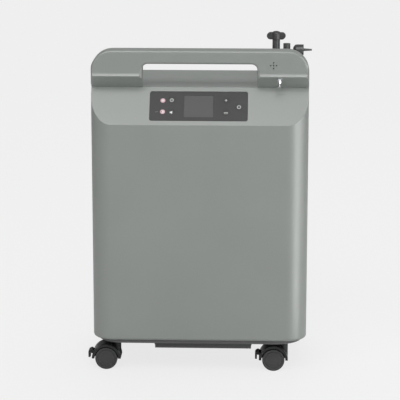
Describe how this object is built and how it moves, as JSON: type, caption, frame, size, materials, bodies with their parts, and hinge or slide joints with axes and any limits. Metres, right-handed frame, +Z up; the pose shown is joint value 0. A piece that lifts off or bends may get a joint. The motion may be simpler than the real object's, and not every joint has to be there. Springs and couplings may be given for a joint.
{
  "type": "oxygen concentrator",
  "caption": "Bedside oxygen concentrator: grey moulded casing with grip bar, sloped control panel, humidifier bottle in a rear niche, and swivel casters.",
  "frame": {"origin": "on the floor under the wheels, midway across the overall width and depth", "axes": "+X to the right seen from the front, +Y to the rear, +Z up"},
  "size_m": [0.3995, 0.275, 0.587],
  "materials": {
    "case": "fine satin moulded texture",
    "base": "dark matt moulded",
    "duct": "dark matt moulded",
    "steel": "zinc plated",
    "panel": "satin film",
    "display": "smooth, unlit",
    "circuit": "solder resist",
    "keys": "satin film",
    "lamps": "clear lens",
    "black_plastic": "satin moulded",
    "white_plastic": "smooth moulded",
    "chrome": "polished",
    "clear_plastic": "clear",
    "foam": "open-cell foam",
    "cast_metal": "as cast",
    "aluminium": "drawn",
    "copper": "drawn tube",
    "brass": "turned",
    "hose": "silicone",
    "caster_frame": "satin moulded",
    "wheel": "matt"
  },
  "bodies": {
    "root": {"front_cover": "case", "rear_cover": "case", "top_cover": "case", "base_plate": "base", "exhaust_duct": "duct", "cover_screws": "steel", "chassis_frame": "steel", "compressor_springs": "steel", "caster_stems": "steel", "run_capacitor": "steel", "panel_overlay": "panel", "display_window": "display", "control_board": "circuit", "main_board": "circuit", "indicator_lenses": "lamps", "speaker": "black_plastic", "power_inlet": "black_plastic", "circuit_breaker": "black_plastic", "fan_frame": "black_plastic", "exhaust_muffler": "black_plastic", "valve_manifold": "black_plastic", "bacteria_filter": "white_plastic", "oxygen_outlet": "chrome", "intake_filter": "foam", "compressor": "cast_metal", "cylinder_heads": "cast_metal", "sieve_beds": "aluminium", "product_tank": "aluminium", "cooling_coil": "copper", "pressure_regulator": "brass", "air_hoses": "hose"},
    "swivel_fl": {"caster_frame_fl": "caster_frame"},
    "wheel_fl_front": {"wheel_fl_front": "wheel"},
    "wheel_fl_rear": {"wheel_fl_rear": "wheel"},
    "swivel_fr": {"caster_frame_fr": "caster_frame"},
    "wheel_fr_front": {"wheel_fr_front": "wheel"},
    "wheel_fr_rear": {"wheel_fr_rear": "wheel"},
    "swivel_rl": {"caster_frame_rl": "caster_frame"},
    "wheel_rl_front": {"wheel_rl_front": "wheel"},
    "wheel_rl_rear": {"wheel_rl_rear": "wheel"},
    "swivel_rr": {"caster_frame_rr": "caster_frame"},
    "wheel_rr_front": {"wheel_rr_front": "wheel"},
    "wheel_rr_rear": {"wheel_rr_rear": "wheel"},
    "brake_lever_fl": {"brake_lever_fl": "caster_frame"},
    "brake_lever_fr": {"brake_lever_fr": "caster_frame"},
    "power_button": {"power_button": "keys"},
    "plus_button": {"plus_button": "keys"},
    "minus_button": {"minus_button": "keys"},
    "timer_button": {"timer_button": "keys"},
    "mute_button": {"mute_button": "keys"},
    "breaker_button": {"breaker_button": "white_plastic"},
    "filter_door": {"filter_door": "case"},
    "fan_rotor": {"fan_rotor": "black_plastic"},
    "bottle": {"humidifier_bottle": "clear_plastic"},
    "lid": {"humidifier_lid": "black_plastic", "bubble_tube": "clear_plastic", "relief_valve": "black_plastic", "humidifier_outlet": "black_plastic"},
    "wing_nut": {"wing_nut": "black_plastic"}
  },
  "joints": [
    {"name": "swivel_fl_turn", "type": "hinge", "parent": "root", "child": "swivel_fl", "pos_m": [-0.15, -0.0915, 0.05], "axis": [0, 0, 1], "continuous": true},
    {"name": "wheel_fl_front_roll", "type": "hinge", "parent": "swivel_fl", "child": "wheel_fl_front", "pos_m": [-0.168, -0.0915, 0.02], "axis": [0, 1, 0], "continuous": true},
    {"name": "wheel_fl_rear_roll", "type": "hinge", "parent": "swivel_fl", "child": "wheel_fl_rear", "pos_m": [-0.168, -0.0915, 0.02], "axis": [0, 1, 0], "continuous": true},
    {"name": "swivel_fr_turn", "type": "hinge", "parent": "root", "child": "swivel_fr", "pos_m": [0.15, -0.0915, 0.05], "axis": [0, 0, 1], "continuous": true},
    {"name": "wheel_fr_front_roll", "type": "hinge", "parent": "swivel_fr", "child": "wheel_fr_front", "pos_m": [0.132, -0.0915, 0.02], "axis": [0, 1, 0], "continuous": true},
    {"name": "wheel_fr_rear_roll", "type": "hinge", "parent": "swivel_fr", "child": "wheel_fr_rear", "pos_m": [0.132, -0.0915, 0.02], "axis": [0, 1, 0], "continuous": true},
    {"name": "swivel_rl_turn", "type": "hinge", "parent": "root", "child": "swivel_rl", "pos_m": [-0.15, 0.0915, 0.05], "axis": [0, 0, 1], "continuous": true},
    {"name": "wheel_rl_front_roll", "type": "hinge", "parent": "swivel_rl", "child": "wheel_rl_front", "pos_m": [-0.168, 0.0915, 0.02], "axis": [0, 1, 0], "continuous": true},
    {"name": "wheel_rl_rear_roll", "type": "hinge", "parent": "swivel_rl", "child": "wheel_rl_rear", "pos_m": [-0.168, 0.0915, 0.02], "axis": [0, 1, 0], "continuous": true},
    {"name": "swivel_rr_turn", "type": "hinge", "parent": "root", "child": "swivel_rr", "pos_m": [0.15, 0.0915, 0.05], "axis": [0, 0, 1], "continuous": true},
    {"name": "wheel_rr_front_roll", "type": "hinge", "parent": "swivel_rr", "child": "wheel_rr_front", "pos_m": [0.132, 0.0915, 0.02], "axis": [0, 1, 0], "continuous": true},
    {"name": "wheel_rr_rear_roll", "type": "hinge", "parent": "swivel_rr", "child": "wheel_rr_rear", "pos_m": [0.132, 0.0915, 0.02], "axis": [0, 1, 0], "continuous": true},
    {"name": "brake_lever_fl_tilt", "type": "hinge", "parent": "swivel_fl", "child": "brake_lever_fl", "pos_m": [-0.19563, -0.0915, 0.03061], "axis": [0, 1, 0], "range_deg": [0, 15]},
    {"name": "brake_lever_fr_tilt", "type": "hinge", "parent": "swivel_fr", "child": "brake_lever_fr", "pos_m": [0.10437, -0.0915, 0.03061], "axis": [0, 1, 0], "range_deg": [0, 15]},
    {"name": "power_button_press", "type": "slide", "parent": "root", "child": "power_button", "axis": [0, 0.8, -0.6], "range_m": [0, 0.0008], "stiffness_N_per_m": 800},
    {"name": "plus_button_press", "type": "slide", "parent": "root", "child": "plus_button", "axis": [0, 0.8, -0.6], "range_m": [0, 0.0008], "stiffness_N_per_m": 800},
    {"name": "minus_button_press", "type": "slide", "parent": "root", "child": "minus_button", "axis": [0, 0.8, -0.6], "range_m": [0, 0.0008], "stiffness_N_per_m": 800},
    {"name": "timer_button_press", "type": "slide", "parent": "root", "child": "timer_button", "axis": [0, 0.8, -0.6], "range_m": [0, 0.0008], "stiffness_N_per_m": 800},
    {"name": "mute_button_press", "type": "slide", "parent": "root", "child": "mute_button", "axis": [0, 0.8, -0.6], "range_m": [0, 0.0008], "stiffness_N_per_m": 800},
    {"name": "breaker_button_press", "type": "slide", "parent": "root", "child": "breaker_button", "axis": [0, -1, 0], "range_m": [0, 0.0015], "stiffness_N_per_m": 800},
    {"name": "filter_door_open", "type": "hinge", "parent": "root", "child": "filter_door", "pos_m": [-0.083, 0.1349, 0.3025], "axis": [-1, 0, 0], "range_deg": [0, 90]},
    {"name": "fan_rotor_spin", "type": "hinge", "parent": "root", "child": "fan_rotor", "pos_m": [0, -0.0225, 0.259], "axis": [0, 0, 1], "continuous": true},
    {"name": "bottle_lift", "type": "slide", "parent": "root", "child": "bottle", "axis": [0, 0, 1], "range_m": [0, 0.03]},
    {"name": "lid_unscrew", "type": "hinge", "parent": "bottle", "child": "lid", "pos_m": [0.133, 0.0925, 0.54], "axis": [0, 0, 1], "continuous": true},
    {"name": "wing_nut_turn", "type": "hinge", "parent": "lid", "child": "wing_nut", "pos_m": [0.133, 0.0925, 0.56], "axis": [0, 0, 1], "continuous": true}
  ]
}
